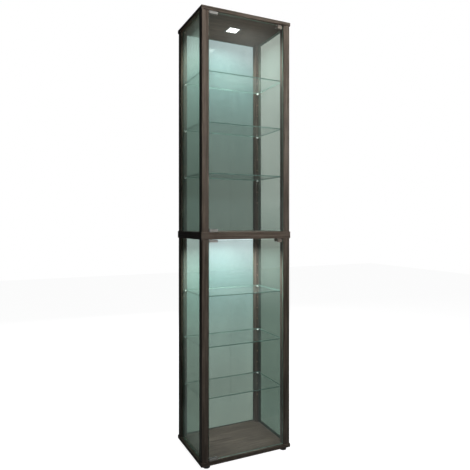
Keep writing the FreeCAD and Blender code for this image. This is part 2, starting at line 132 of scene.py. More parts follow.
class CabinetSettings(bpy.types.PropertyGroup):
    """Sizes, colours, light powers and the camera's place"""
    edge_band: length_setting("Edge band", "Thickness of the band on the boards' edges", 1.0 * MM)
    band_round: length_setting("Band rounding", "Rounding of the edge bands", 0.7 * MM)
    post_round: length_setting("Post rounding", "Rounding of the posts' wrapped corners", 1.2 * MM)
    arris: length_setting("Glass arris", "Width of the polished arris on the glass", 0.4 * MM)
    metal_round: length_setting("Metal rounding", "Rounding of the small metal fittings", 0.5 * MM)
    wood_dark: colour_setting("Dark grain", "Darkest tone of the wenge pattern", (0.016, 0.012, 0.009))
    wood_light: colour_setting("Light grain", "Lightest tone of the wenge pattern", (0.077, 0.062, 0.050))
    chipboard: colour_setting("Core", "Raw core inside the boards and posts", (0.30, 0.22, 0.14))
    # Rear glass tints by height carry painted light: a painted lamp glow high in a storey, painted shade
    # half way and low down.
    rear_tint_painted_glow: colour_setting("Rear glass by the lamps", "Tint of the rear glass high in a storey",
                              (0.80, 0.96, 0.98))
    glass_high: colour_setting("Rear glass above", "Tint of the rear glass above half way",
                               (0.43, 0.655, 0.625))
    rear_tint_painted_half_shade: colour_setting("Rear glass midway", "Tint of the rear glass half way down",
                                 (0.285, 0.385, 0.34))
    rear_tint_painted_shade: colour_setting("Rear glass below", "Tint of the rear glass low in a storey",
                                 (0.25, 0.305, 0.262))
    # Side glass tints by height carry painted light: painted lamp light high in a storey, painted shade low
    # down.
    side_tint_painted_light: colour_setting("Side glass above", "Tint of the side glass high in a storey",
                             (0.58, 0.62, 0.56))
    side_tint_painted_shade: colour_setting("Side glass below", "Tint of the side glass low in a storey",
                                (0.46, 0.53, 0.475))
    # Painted shade on the right side glass low down.
    side_glass_painted_shade: colour_setting("Side glass shade", "Extra tint of the right side glass low down",
                               (0.30, 0.38, 0.34))
    door_tint: colour_setting("Door glass", "Tint of the door glass", (0.70, 0.72, 0.705))
    shelf_tint: colour_setting("Shelf glass", "Tint of the shelves", (0.965, 0.98, 0.972))
    edge_tint: colour_setting("Glass edge", "Colour that shows in the glass's cut edges",
                              (0.16, 0.27, 0.235))
    lamp_colour: colour_setting("Lamp colour", "Colour of the lamps' light", (0.96, 1.0, 0.98))
    lamp_power: power_setting("Lamp power", "Power of each lamp", 12.0)
    key_power: power_setting("Key power", "Power of the main studio light", 44.0)
    side_power: power_setting("Side power", "Power of the weaker light from the right", 13.0)
    bounce_power: power_setting("Bounced light", "Power of the light thrown up by the shelves", 1.1)
    wash_power: power_setting("Floor light", "Power of the light thrown on the floor boards", 1.0)
    flank_power: power_setting("Flank power", "Power of the light on the right side", 24.0)
    rear_power: power_setting("Rear power", "Power of the light from behind", 95.0)
    fill: bpy.props.FloatProperty(name="Surrounding light",
                                  description="Strength of the soft light all round",
                                  default=0.07, subtype="FACTOR", min=0)
    camera_place: bpy.props.FloatVectorProperty(name="Camera place", description="Where the camera stands",
                                                default=(-0.9123, -1.9327, 1.0038),
                                                subtype="TRANSLATION", size=3)
    camera_turn: bpy.props.FloatProperty(name="Camera turn",
                                         description="Camera's turn away from the cabinet's depth",
                                         default=math.radians(-25.52), subtype="ANGLE")
    camera_lens: bpy.props.FloatProperty(name="Lens", description="Focal length on a 36 mm sensor",
                                         default=36.35, unit="CAMERA", min=1)
    camera_rise: bpy.props.FloatProperty(name="Lens rise", description="Upward shift of the lens",
                                         default=-0.0287, subtype="FACTOR")


def settings():
    return bpy.context.scene.cabinet


# ---- Modelling helpers ----
def use(*objects):
    """Select only these objects and make the first one active."""
    if bpy.context.mode != "OBJECT":
        bpy.ops.object.mode_set(mode="OBJECT")
    for obj in bpy.context.selected_objects:
        obj.select_set(False)
    for obj in objects:
        obj.select_set(True)
    bpy.context.view_layer.objects.active = objects[0] if objects else None


def settle(obj, name):
    """Name a piece and apply its place, turn and size to its mesh."""
    use(obj)
    bpy.ops.object.transform_apply(location=True, rotation=True, scale=True)
    obj.name = name
    obj.data.name = name
    return obj


def block(name, low, high):
    """A box between two corners, given in any order."""
    use()
    low, high = Vector(low), Vector(high)
    bpy.ops.mesh.primitive_cube_add(size=1, location=(low + high) / 2)
    obj = bpy.context.object
    obj.scale = [abs(a - b) for a, b in zip(low, high)]
    return settle(obj, name)


def rod(name, radius, start, end, end_radius=None, sides=40):
    """A cylinder between two points, or a cone where end_radius is given."""
    use()
    start, end = Vector(start), Vector(end)
    along = end - start
    bpy.ops.mesh.primitive_cone_add(vertices=sides, radius1=radius,
                                    radius2=radius if end_radius is None else end_radius,
                                    depth=along.length, location=(start + end) / 2,
                                    rotation=along.to_track_quat("Z", "Y").to_euler())
    return settle(bpy.context.object, name)


def pick(obj, kind, rule):
    """Open the piece in edit mode with only the faces or edges selected that the rule accepts."""
    use(obj)
    bpy.context.tool_settings.mesh_select_mode = (False, kind == "EDGE", kind == "FACE")
    bpy.ops.object.mode_set(mode="EDIT")
    mesh = bmesh.from_edit_mesh(obj.data)
    for group in (mesh.faces, mesh.edges, mesh.verts):
        for item in group:
            item.select = False
    for item in (mesh.faces if kind == "FACE" else mesh.edges):
        if rule(item):
            item.select_set(True)
    mesh.select_flush_mode()
    bmesh.update_edit_mesh(obj.data)


def done():
    bpy.ops.object.mode_set(mode="OBJECT")


def bevel(obj, width, segments, rule):
    """Round the edges that the rule accepts."""
    pick(obj, "EDGE", rule)
    bpy.ops.mesh.bevel(offset=width, segments=segments, affect="EDGES", clamp_overlap=True)
    done()
    return obj


def every_edge(edge):
    return True


def runs_along(axis):
    """Rule for the straight edges that run along one axis."""
    def rule(edge):
        direction = (edge.verts[1].co - edge.verts[0].co).normalized()
        return abs(direction[axis]) > 0.99
    return rule


def rims(axis):
    """Rule for the edges around the two faces that face along one axis."""
    def rule(edge):
        facing = sorted(abs(face.normal[axis]) for face in edge.link_faces)
        return len(facing) == 2 and facing[0] < 0.5 and facing[1] > 0.99
    return rule


def rim_at(axis, place):
    """Rule for the edges around the flat face at one place along an axis."""
    def rule(edge):
        at_place = all(abs(vertex.co[axis] - place) < 0.01 * MM for vertex in edge.verts)
        return at_place and rims(axis)(edge)
    return rule


def faces_along(axis, sign):
    return lambda face: face.normal[axis] * sign > 0.99


def join(name, *objects):
    use(*objects)
    if len(objects) > 1:
        bpy.ops.object.join()
    return settle(objects[0], name)


def cut(obj, *cutters):
    """Take the cutters' shapes out of a piece and delete them."""
    tool = join("cutter", *cutters)
    use(obj)
    bpy.ops.object.modifier_add(type="BOOLEAN")
    step = obj.modifiers[-1]
    step.object = tool
    step.operation = "DIFFERENCE"
    step.solver = "EXACT"
    step.use_self = True
    bpy.ops.object.modifier_apply(modifier=step.name)
    use(tool)
    bpy.ops.object.delete()
    return obj


def copy(obj, name, move=(0, 0, 0), turn=0.0):
    """A copy with its own mesh, turned about the piece's own origin and moved."""
    use(obj)
    bpy.ops.object.duplicate(linked=False)
    twin = bpy.context.object
    twin.rotation_euler.z = turn
    twin.location = move
    return settle(twin, name)


def soften(obj, degrees=35):
    """Shade rounded edges smooth and keep the flat faces flat."""
    use(obj)
    bpy.ops.object.shade_smooth_by_angle(angle=math.radians(degrees))
    bpy.ops.object.modifier_add(type="WEIGHTED_NORMAL")
    step = obj.modifiers[-1]
    step.keep_sharp = True
    step.weight = 100
    bpy.ops.object.modifier_apply(modifier=step.name)
    return obj


def dress(obj, *materials):
    obj.data.materials.clear()
    for material in materials:
        obj.data.materials.append(material)
    return obj


def paint(obj, index, rule):
    """Give the material at index to the faces that the rule accepts."""
    pick(obj, "FACE", rule)
    obj.active_material_index = index
    bpy.ops.object.material_slot_assign()
    done()
    return obj


def place(obj, nodes, body="cabinet"):
    """Let a finished piece stand for its frame nodes and move with their body."""
    nodes = [nodes] if isinstance(nodes, str) else nodes
    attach(obj, body)
    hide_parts(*nodes)
    return obj


# ---- Material helpers ----
class Tree:
    """A material's nodes, added one by one."""
    made = {}

    def __init__(self, name):
        self.material = self.made.get(name)
        self.fresh = self.material is None
        if self.fresh:
            self.material = bpy.data.materials.new(f"{name}_finish")
            self.made[name] = self.material
            self.material.use_nodes = True
            self.material.node_tree.nodes.clear()

    def add(self, kind, inputs=None, **attributes):
        """Add a node; inputs maps socket names or numbers to values or to other nodes' outputs."""
        node = self.material.node_tree.nodes.new(f"ShaderNode{kind}")
        for key, value in attributes.items():
            setattr(node, key, value)
        for key, value in (inputs or {}).items():
            if isinstance(value, bpy.types.NodeSocket):
                self.material.node_tree.links.new(value, node.inputs[key])
            else:
                node.inputs[key].default_value = value
        return node

    def maths(self, operation, first, second=0.0, clamp=False):
        return self.add("Math", {0: first, 1: second}, operation=operation, use_clamp=clamp).outputs[0]

    def place(self, scale, turn=(0, 0, 0)):
        """Object coordinates, stretched by scale."""
        coordinates = self.add("TexCoord").outputs["Object"]
        return self.add("Mapping", {"Vector": coordinates, "Scale": scale, "Rotation": turn}).outputs[0]

    def noise(self, where, scale, detail=4.0, roughness=0.55, distortion=0.0):
        return self.add("TexNoise", {"Vector": where, "Scale": scale, "Detail": detail,
                                     "Roughness": roughness, "Distortion": distortion}).outputs["Fac"]

    def ramp(self, factor, *stops):
        """A colour ramp through (place, colour) stops."""
        node = self.add("ValToRGB", {"Fac": factor})
        marks = node.color_ramp.elements
        while len(marks) < len(stops):
            marks.new(1.0)
        for mark, (position, colour) in zip(marks, stops):
            mark.position = position
            mark.color = (*colour, 1) if len(colour) == 3 else colour
        return node.outputs["Color"]

    def span(self, value, low, high, to_low=0.0, to_high=1.0):
        return self.add("MapRange", {"Value": value, "From Min": low, "From Max": high,
                                     "To Min": to_low, "To Max": to_high}).outputs["Result"]

    def mix(self, factor, first, second, blend="MIX"):
        node = self.add("Mix", data_type="RGBA", blend_type=blend)
        for index, value in ((0, factor), (6, first), (7, second)):
            if isinstance(value, bpy.types.NodeSocket):
                self.material.node_tree.links.new(value, node.inputs[index])
            elif index == 0:
                node.inputs[index].default_value = value
            else:
                node.inputs[index].default_value = (*value, 1)
        return node.outputs[2]

    def rounded_edges(self):
        """1 on rounded edges and 0 on the flat faces along the axes."""
        normal = self.add("TexCoord").outputs["Normal"]
        split = self.add("SeparateXYZ", {0: normal}).outputs
        largest = self.maths("MAXIMUM", self.maths("ABSOLUTE", split[0]), self.maths("ABSOLUTE", split[1]))
        largest = self.maths("MAXIMUM", largest, self.maths("ABSOLUTE", split[2]))
        return self.span(largest, 0.995, 0.88)

    def bump(self, height, strength, distance):
        return self.add("Bump", {"Height": height, "Strength": strength, "Distance": distance}).outputs[0]

    def principled(self, **sockets):
        named = {key.replace("_", " "): value for key, value in sockets.items()}
        return self.add("BsdfPrincipled", named).outputs[0]

    def finish(self, shader):
        self.add("OutputMaterial", {"Surface": shader})
        return self.material


def grey(value):
    return (value, value, value)


def wenge(axis):
    """Dark wenge-effect foil whose grain runs along one axis."""
    tree = Tree(f"wenge_grain_{'xyz'[axis]}")
    if not tree.fresh:
        return tree.material
    dark, light = settings().wood_dark, settings().wood_light
    stretch = [170.0, 170.0, 170.0]
    stretch[axis] = 5.0
    where = tree.place(stretch)
    bands = tree.noise(where, 1.0, 5.0, 0.6, 0.6)
    stretch = [1500.0, 1500.0, 1500.0]
    stretch[axis] = 38.0
    pores = tree.noise(tree.place(stretch), 1.0, 3.0, 0.6)
    cloud = tree.noise(tree.place((6, 6, 6)), 1.0, 2.0)
    middle = [0.55 * a + 0.45 * b for a, b in zip(dark, light)]
    colour = tree.ramp(bands, (0.30, dark), (0.50, middle), (0.68, light))
    pore_shade = tree.span(pores, 0.40, 0.56, 0.62, 1.0)
    colour = tree.mix(1.0, colour, pore_shade, "MULTIPLY")
    colour = tree.mix(1.0, colour, tree.span(cloud, 0.3, 0.7, 0.86, 1.12), "MULTIPLY")
    wear = tree.maths("MULTIPLY", tree.rounded_edges(), tree.span(cloud, 0.42, 0.62, 0.05, 0.40))
    worn = [min(1.0, 1.7 * value + 0.01) for value in light]
    colour = tree.mix(wear, colour, worn)
    rough = tree.span(pores, 0.3, 0.7, 0.62, 0.48)
    normal = tree.bump(tree.maths("ADD", pores, tree.maths("MULTIPLY", bands, 0.5)), 0.35, 0.12 * MM)
    return tree.finish(tree.principled(Base_Color=colour, Roughness=rough, Normal=normal,
                                       Specular_IOR_Level=0.22))


def core():
    """Raw chipboard in grooves, holes and cut ends."""
    tree = Tree("chipboard_core")
    if not tree.fresh:
        return tree.material
    chips = tree.noise(tree.place((420, 420, 420)), 1.0, 4.0, 0.7)
    base = settings().chipboard
    colour = tree.ramp(chips, (0.35, [0.45 * value for value in base]), (0.65, base))
    return tree.finish(tree.principled(Base_Color=colour, Roughness=tree.span(chips, 0.3, 0.7, 0.8, 0.95),
                                       Normal=tree.bump(chips, 0.5, 0.2 * MM)))


def storey_height(tree):
    """0 at a storey's floor and 1 at its ceiling, the same for both storeys."""
    coordinates = tree.add("TexCoord").outputs["Object"]
    height = tree.add("SeparateXYZ", {0: coordinates}).outputs[2]
    above = tree.maths("SUBTRACT", height, FLOOR_Z["lower"] - BOARD_GROOVE)
    return tree.maths("DIVIDE", tree.maths("MODULO", above, STOREY_STEP), POST_LENGTH)


def each_face(tint):
    """A pane's tint shared between the two faces that light goes through."""
    return [value ** 0.5 for value in tint]


def clear_glass(name, tint, haze, haze_colour, painted_light_falls=None, film_gain=0.85, paints_right_shade=False,
                upper_storey_painted_dimming=1.0):
    """Thin glass: tinted see-through, a mirror film that grows at grazing angles and a faint haze; the tint
    can carry painted lamp light and painted shade by height.
    """
    tree = Tree(name)
    if not tree.fresh:
        return tree.material
    tint = each_face(tint)
    smears = tree.noise(tree.place((9, 9, 3)), 1.0, 3.0, 0.6)
    if painted_light_falls is None:
        colour = tree.mix(tree.span(smears, 0.35, 0.7, 0.0, 0.10), tint, [0.93 * value for value in tint])
    else:
        # The tint follows the storey's height: painted lamp light high up, painted shade low down.
        colour = tree.ramp(storey_height(tree), *((height, each_face(fall)) for height, fall in painted_light_falls))
        colour = tree.mix(tree.span(smears, 0.35, 0.7, 0.0, 0.12), colour, grey(0.5), "MULTIPLY")
    # Painted shade: the right side glass darkens fully below the low height and not at all above the high
    # one.
    if paints_right_shade:
        across, _, up = tree.add("SeparateXYZ", {0: tree.add("TexCoord").outputs["Object"]}).outputs
        depth = tree.mix(tree.span(up, PAINTED_SHADE_LOW, PAINTED_SHADE_HIGH), each_face(settings().side_glass_painted_shade), grey(1.0))
        colour = tree.mix(tree.span(across, -0.1, 0.1), colour, tree.mix(1.0, colour, depth, "MULTIPLY"))
    # Painted shade: the glass of the upper storey is darkened by a set factor.
    if upper_storey_painted_dimming < 1:
        height = tree.add("SeparateXYZ", {0: tree.add("TexCoord").outputs["Object"]}).outputs[2]
        storey = tree.span(height, CEILING_Z["lower"], FLOOR_Z["upper"])
        upper_painted_shade = tree.mix(1.0, colour, grey(upper_storey_painted_dimming ** 0.5), "MULTIPLY")
        colour = tree.mix(storey, colour, upper_painted_shade)
    through = tree.add("BsdfTransparent", {"Color": colour}).outputs[0]
    hazy = tree.add("BsdfTranslucent", {"Color": (*haze_colour, 1)}).outputs[0]
    soft = tree.add("BsdfDiffuse", {"Color": (*haze_colour, 1)}).outputs[0]
    lit = tree.add("MixShader", {0: 0.5, 1: hazy, 2: soft}).outputs[0]
    haze_share = tree.span(smears, 0.3, 0.7, 0.8 * haze, 1.2 * haze)
    body = tree.add("MixShader", {0: haze_share, 1: through, 2: lit}).outputs[0]
    mirror = tree.add("BsdfGlossy", {"Color": (1, 1, 1, 1), "Roughness": 0.015}).outputs[0]
    facing = tree.add("LayerWeight", {"Blend": 0.5}).outputs["Facing"]
    film = tree.maths("ADD", tree.maths("MULTIPLY", tree.maths("POWER", facing, 5.0), film_gain), 0.04)
    return tree.finish(tree.add("MixShader", {0: film, 1: body, 2: mirror}).outputs[0])


def back_glass():
    # Tint ramp with a painted lamp glow near each ceiling and painted shade towards each storey's floor.
    own = settings()
    painted_light_falls = ((0.0, own.rear_tint_painted_shade), (0.20, own.rear_tint_painted_shade), (0.50, own.rear_tint_painted_half_shade),
             (0.78, own.glass_high), (0.93, own.rear_tint_painted_glow))
    return clear_glass("glass_back_painted_light", own.rear_tint_painted_glow, 0.040, (0.45, 0.71, 0.685), painted_light_falls, upper_storey_painted_dimming=0.76)


def side_glass():
    # Tint ramp with painted lamp light high up and painted shade low down, plus painted shade on the right
    # pane.
    own = settings()
    painted_light_falls = ((0.1, own.side_tint_painted_shade), (0.8, own.side_tint_painted_light))
    return clear_glass("glass_side_painted_light", own.side_tint_painted_light, 0.05, (0.50, 0.70, 0.65), painted_light_falls, paints_right_shade=True)


def door_glass():
    return clear_glass("glass_door", settings().door_tint, 0.006, (0.66, 0.70, 0.68))


def shelf_glass():
    return clear_glass("glass_shelf", settings().shelf_tint, 0.012, (0.60, 0.72, 0.68), film_gain=0.3)


def glass_edge():
    """The polished cut edges, where the glass's own green gathers."""
    tree = Tree("glass_edge")
    if not tree.fresh:
        return tree.material
    streaks = tree.noise(tree.place((60, 60, 60)), 1.0, 3.0)
    tint = settings().edge_tint
    colour = tree.ramp(streaks, (0.3, [0.75 * value for value in tint]),
                       (0.7, [min(1, 1.25 * v) for v in tint]))
    body = tree.principled(Base_Color=colour, Roughness=tree.span(streaks, 0.3, 0.7, 0.06, 0.16),
                           Normal=tree.bump(streaks, 0.05, 0.05 * MM), Coat_Weight=0.6)
    through = tree.add("BsdfTransparent", {"Color": (*tint, 1)}).outputs[0]
    return tree.finish(tree.add("MixShader", {0: 0.45, 1: through, 2: body}).outputs[0])


def metal(name, colour, low, high, grain=(900, 900, 60), wear=0.25, metallic=1.0):
    """Brushed or plated metal with fine lines and brighter rounded edges."""
    tree = Tree(name)
    if not tree.fresh:
        return tree.material
    lines = tree.noise(tree.place(grain), 1.0, 3.0, 0.6)
    cloud = tree.noise(tree.place((90, 90, 90)), 1.0, 3.0)
    tone = tree.ramp(cloud, (0.3, [0.82 * value for value in colour]), (0.7, colour))
    brighter = [min(1.0, 1.25 * value + 0.05) for value in colour]
    tone = tree.mix(tree.maths("MULTIPLY", tree.rounded_edges(), wear), tone, brighter)
    return tree.finish(tree.principled(Base_Color=tone, Metallic=metallic,
                                       Roughness=tree.span(lines, 0.3, 0.7, low, high),
                                       Normal=tree.bump(lines, 0.12, 0.02 * MM)))


def plastic(name, colour, rough=0.5, grain=700):
    """Moulded plastic or rubber with a fine texture."""
    tree = Tree(name)
    if not tree.fresh:
        return tree.material
    pits = tree.noise(tree.place((grain, grain, grain)), 1.0, 2.0)
    cloud = tree.noise(tree.place((40, 40, 40)), 1.0, 3.0)
    tone = tree.ramp(cloud, (0.3, [0.8 * value for value in colour]),
                     (0.7, [min(1, 1.15 * v) for v in colour]))
    lighter = [min(1.0, 1.5 * value + 0.02) for value in colour]
    tone = tree.mix(tree.maths("MULTIPLY", tree.rounded_edges(), 0.3), tone, lighter)
    return tree.finish(tree.principled(Base_Color=tone, Normal=tree.bump(pits, 0.2, 0.05 * MM),
                                       Roughness=tree.span(cloud, 0.3, 0.7, rough - 0.06, rough + 0.06)))


def beech():
    tree = Tree("beech_dowel")
    if not tree.fresh:
        return tree.material
    grain = tree.noise(tree.place((500, 500, 30)), 1.0, 4.0)
    colour = tree.ramp(grain, (0.3, (0.42, 0.28, 0.16)), (0.7, (0.68, 0.51, 0.33)))
    return tree.finish(tree.principled(Base_Color=colour, Roughness=tree.span(grain, 0.3, 0.7, 0.6, 0.75),
                                       Normal=tree.bump(grain, 0.3, 0.1 * MM)))


def opal():
    """The lit diffuser, with a glow that varies slightly over its face."""
    tree = Tree("opal_diffuser")
    if not tree.fresh:
        return tree.material
    spots = tree.noise(tree.place((60, 60, 60)), 1.0, 1.0)
    glow = tree.span(spots, 0.3, 0.7, 0.92, 1.0)
    colour = tree.mix(1.0, settings().lamp_colour, glow, "MULTIPLY")
    return tree.finish(tree.principled(Base_Color=(0.9, 0.92, 0.9, 1),
                                       Roughness=tree.span(spots, 0.3, 0.7, 0.35, 0.5),
                                       Emission_Color=colour, Emission_Strength=3.0))


def finishes():
    """The material of each slot, for frame nodes that are shown as they are."""
    return {
        "pin_steel": metal("pin_steel", (0.96, 0.97, 0.97), 0.24, 0.36, metallic=0.15),
        "screw_steel": metal("screw_steel", (0.58, 0.59, 0.60), 0.28, 0.42),
        "beech": beech(),
        "liner_rubber": plastic("liner_rubber", (0.05, 0.05, 0.05), 0.8),
        "bush_plastic": plastic("bush_plastic", (0.04, 0.04, 0.04), 0.5),
        "cap_plastic": plastic("cap_plastic", (0.045, 0.036, 0.030), 0.5),
        "led_board": plastic("led_board", (0.80, 0.82, 0.79), 0.4),
        "magnet": plastic("magnet_ferrite", (0.07, 0.07, 0.07), 0.6),
    }


# ---- Boards ----
def centre_of(node):
    low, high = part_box(node)
    return (low + high) / 2


def corner_signs():
    return [(sx, sy) for sx in (-1, 1) for sy in (-1, 1)]


def screw_places():
    """Plan positions of the connecting screws, from the span of their group."""
    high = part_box("upper_frame_screws")[1]
    return [(sx * (high.x - SCREW_HEAD), sy * (high.y - SCREW_HEAD)) for sx, sy in corner_signs()]


def board_panel(node, ceiling):
    """The laminated panel between the edge bands, with its grooves, screw holes and lamp pocket."""
    low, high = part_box(node)
    band = settings().edge_band
    panel = block(f"{node}_panel", low + Vector((band, band, 0)), high - Vector((band, band, 0)))
    inner, outer, into = (low.z, high.z, 1) if ceiling else (high.z, low.z, -1)
    cutters = []
    for x, y in screw_places():
        cutters.append(rod("hole", SCREW_NECK, (x, y, low.z - MARGIN), (x, y, high.z + MARGIN)))
        sunk = outer - into * CAP
        cutters.append(rod("recess", CAP_RADIUS, (x, y, outer + into * MARGIN), (x, y, sunk)))
        cutters.append(rod("sink", SCREW_HEAD, (x, y, sunk), (x, y, sunk - into * SCREW_HEAD_DEPTH),
                           SCREW_NECK))
    bush = centre_of("lower_pivot_bushes")
    cutters.append(rod("bush", BUSH_RADIUS, (bush.x, bush.y, inner - into * MARGIN),
                       (bush.x, bush.y, inner + into * BUSH_DEPTH)))
    for pane in ("lower_side_pane_left", "lower_side_pane_right", "lower_back_pane"):
        start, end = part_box(pane)
        start.z, end.z = inner - into * MARGIN, inner + into * BOARD_GROOVE
        gap = Vector((SLACK, SLACK, 0))
        cutters.append(block("groove", start - gap, end + gap))
    if ceiling:
        storey = "lower" if node == CEILINGS["lower"] else "upper"
        start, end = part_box(f"{storey}_lamp_diffuser")
        can = Vector((LAMP_CAN, LAMP_CAN, 0))
        start.z, end.z = low.z - MARGIN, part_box(f"{storey}_lamp_housing")[1].z
        cutters.append(block("pocket", start - can, end + can))
        middle = low.z + (high.z - low.z) / 2
        cutters.append(rod("lead", LEAD_RADIUS, (0, end.y, middle), (0, high.y + MARGIN, middle)))
    for tool in cutters:
        cut(panel, tool)
    return panel


def edge_bands(node, ceiling):
    """Four thin bands round a board, rounded on the outside."""
    low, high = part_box(node)
    band = settings().edge_band
    bands = [block("band", low, (high.x, low.y + band, high.z)),
             block("band", (low.x, high.y - band, low.z), high),
             block("band", (low.x, low.y + band, low.z), (low.x + band, high.y - band, high.z)),
             block("band", (high.x - band, low.y + band, low.z), (high.x, high.y - band, high.z))]
    for strip, axis, place in zip(bands, (Y, Y, X, X), (low.y, high.y, low.x, high.x)):
        bevel(strip, settings().band_round, 3, rim_at(axis, place))
    if ceiling:
        middle = (low.z + high.z) / 2
        cut(bands[1],
            rod("gland", GROMMET_RADIUS, (0, high.y - 2 * band, middle), (0, high.y + MARGIN, middle)))
    return bands


def add_board(node, twin_node, lift):
    """A finished board, and its copy in the other storey."""
    ceiling = node in CEILINGS.values()
    panel = dress(board_panel(node, ceiling), wenge(X), wenge(Y), core())
    paint(panel, 2, lambda face: abs(face.normal.z) < 0.5)
    bands = edge_bands(node, ceiling)
    for strip in bands[:2]:
        dress(strip, wenge(X))
    for strip in bands[2:]:
        dress(strip, wenge(Y))
    board = soften(join(f"{node}_laminated", panel, *bands), 30)
    twin = copy(board, f"{twin_node}_laminated", (0, 0, lift))
    place(board, node)
    place(twin, twin_node)


# ---- Posts ----
def add_post(end, side):
    """A wrapped post with its pane grooves and row of shelf holes, and its copy one storey up."""
    name = f"lower_post_{end}_{side}"
    low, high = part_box(name)
    sx = 1 if side == "right" else -1
    sy = 1 if end == "rear" else -1
    post = block(f"{name}_wrapped", low, high)
    bevel(post, settings().post_round, 3, runs_along(Z))
    inner_x = low.x if side == "right" else high.x
    inner_y = low.y if end == "rear" else high.y
    start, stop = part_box(f"lower_side_pane_{side}")
    cutters = [block("groove", (start.x - SLACK, inner_y - sy * MARGIN, low.z - MARGIN),
                     (stop.x + SLACK, inner_y + sy * POST_GROOVE, high.z + MARGIN))]
    if end == "rear":
        start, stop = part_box("lower_back_pane")
        cutters.append(block("groove", (inner_x - sx * MARGIN, start.y - SLACK, low.z - MARGIN),
                             (inner_x + sx * POST_GROOVE, stop.y + SLACK, high.z + MARGIN)))
    pin_x = sx * (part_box("lower_shelf_pins")[1].x - COLLAR_RADIUS)
    middle = (low.z + high.z) / 2
    for row in range(-HOLE_ROWS, HOLE_ROWS + 1):
        z = middle + row * HOLE_PITCH
        cutters.append(rod("hole", HOLE_RADIUS, (pin_x, inner_y - sy * MARGIN, z),
                           (pin_x, inner_y + sy * HOLE_DEPTH, z), sides=24))
    cut(post, *cutters)
    dress(post, wenge(Z), core())
    skin = 0.3 * MM

    def inside(face):
        centre = face.calc_center_median()
        depth = min(centre.x - low.x, high.x - centre.x, centre.y - low.y, high.y - centre.y)
        return abs(face.normal.z) > 0.9 or (depth > 1.5 * MM and abs(face.normal.z) < 0.999) or (
            depth > skin and max(abs(face.normal.x), abs(face.normal.y)) > 0.999)
    paint(post, 1, inside)
    soften(post, 30)
    twin = copy(post, f"upper_post_{end}_{side}_wrapped", (0, 0, STOREY_STEP))
    place(post, name)
    place(twin, f"upper_post_{end}_{side}")


# ---- Glass ----
def glass_plate(name, node, thin, face_material, corner=0.0):
    """A pane with polished edges; thin is the axis of its thickness."""
    pane = block(name, *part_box(node))
    if corner:
        bevel(pane, corner, 4, runs_along(thin))
    bevel(pane, settings().arris, 2, rims(thin))
    dress(pane, face_material, glass_edge())
    paint(pane, 1, lambda face: abs(face.normal[thin]) < 0.99)
    return pane


def add_fixed_panes():
    left = glass_plate("lower_side_pane_left_glass", "lower_side_pane_left", X, side_glass())
    across = centre_of("lower_side_pane_right").x - centre_of("lower_side_pane_left").x
    back = glass_plate("lower_back_pane_glass", "lower_back_pane", Y, back_glass())
    lift = (0, 0, STOREY_STEP)
    pieces = {
        "lower_side_pane_left": left,
        "lower_side_pane_right": copy(left, "lower_side_pane_right_glass", (across, 0, 0)),
        "upper_side_pane_left": copy(left, "upper_side_pane_left_glass", lift),
        "upper_side_pane_right": copy(left, "upper_side_pane_right_glass", (across, 0, STOREY_STEP)),
        "lower_back_pane": back,
        "upper_back_pane": copy(back, "upper_back_pane_glass", lift),
    }
    for node, piece in pieces.items():
        place(piece, node)


SHELF_CORNER = 2 * MM
DOOR_CORNER = 1.5 * MM
COLLAR_RADIUS = 3.6 * MM
COLLAR = 1.2 * MM
PIN_FLAT = 2.0 * MM
PIN_REACH = 8.5 * MM          # from the post's face to the pin's tip


def add_shelf_plates():
    first = glass_plate("lower_shelf_bottom_glass", "lower_shelf_bottom", Z, shelf_glass(), SHELF_CORNER)
    base = centre_of("lower_shelf_bottom").z
    place(first, "lower_shelf_bottom")
    for storey in STOREYS:
        for level in LEVELS:
            node = f"{storey}_shelf_{level}"
            if node != "lower_shelf_bottom":
                place(copy(first, f"{node}_glass", (0, 0, centre_of(node).z - base)), node)


def add_doors():
    lower = glass_plate("lower_door_pane_glass", "lower_door_pane", Y, door_glass(), DOOR_CORNER)
    upper = copy(lower, "upper_door_pane_glass", (0, 0, STOREY_STEP))
    place(lower, "lower_door_pane", "lower_door")
    place(upper, "upper_door_pane", "upper_door")


# ---- Shelf pins ----
def shelf_pin(name, at, sy, face_y, inside_y, tip_y):
    """A pin with a rounded collar, a rounded tip and a flat seat on top."""
    x, z = at
    shank = rod("shank", PIN_RADIUS, (x, inside_y, z), (x, face_y, z), sides=24)
    bevel(shank, 0.4 * MM, 2, rim_at(Y, inside_y))
    collar = rod("collar", COLLAR_RADIUS, (x, face_y, z), (x, face_y - sy * COLLAR, z), sides=32)
    bevel(collar, 0.35 * MM, 2, rims(Y))
    seat = rod("seat", PIN_RADIUS, (x, face_y - sy * COLLAR / 2, z), (x, tip_y, z), sides=32)
    bevel(seat, 0.6 * MM, 3, rim_at(Y, tip_y))
    pick(seat, "FACE", lambda face: True)
    bpy.ops.mesh.bisect(plane_co=(x, face_y, z + PIN_FLAT), plane_no=(0, 0, 1), use_fill=True,
                        clear_outer=True)
    done()
    return join(name, shank, collar, seat)


def add_shelf_pins():
    low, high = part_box("lower_shelf_pins")
    x = high.x - COLLAR_RADIUS
    face_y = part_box("lower_post_front_left")[1].y
    inside_y = low.y
    tip_y = face_y + PIN_REACH
    levels = [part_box(f"lower_shelf_{level}")[0].z - PIN_FLAT for level in LEVELS]
    first = shelf_pin("pin", (-x, levels[0]), -1, face_y, inside_y, tip_y)
    pins = []
    for z in levels:
        up = z - levels[0]
        pins.append(copy(first, "pin", (0, 0, up)))
        pins.append(copy(first, "pin", (2 * x, 0, up)))
        pins.append(copy(first, "pin", (0, 0, up), math.pi))
        pins.append(copy(first, "pin", (-2 * x, 0, up), math.pi))
    use(first)
    bpy.ops.object.delete()
    lower = soften(join("lower_shelf_pins_set", *pins), 40)
    dress(lower, finishes()["pin_steel"])
    upper = copy(lower, "upper_shelf_pins_set", (0, 0, STOREY_STEP))
    place(lower, "lower_shelf_pins")
    place(upper, "upper_shelf_pins")


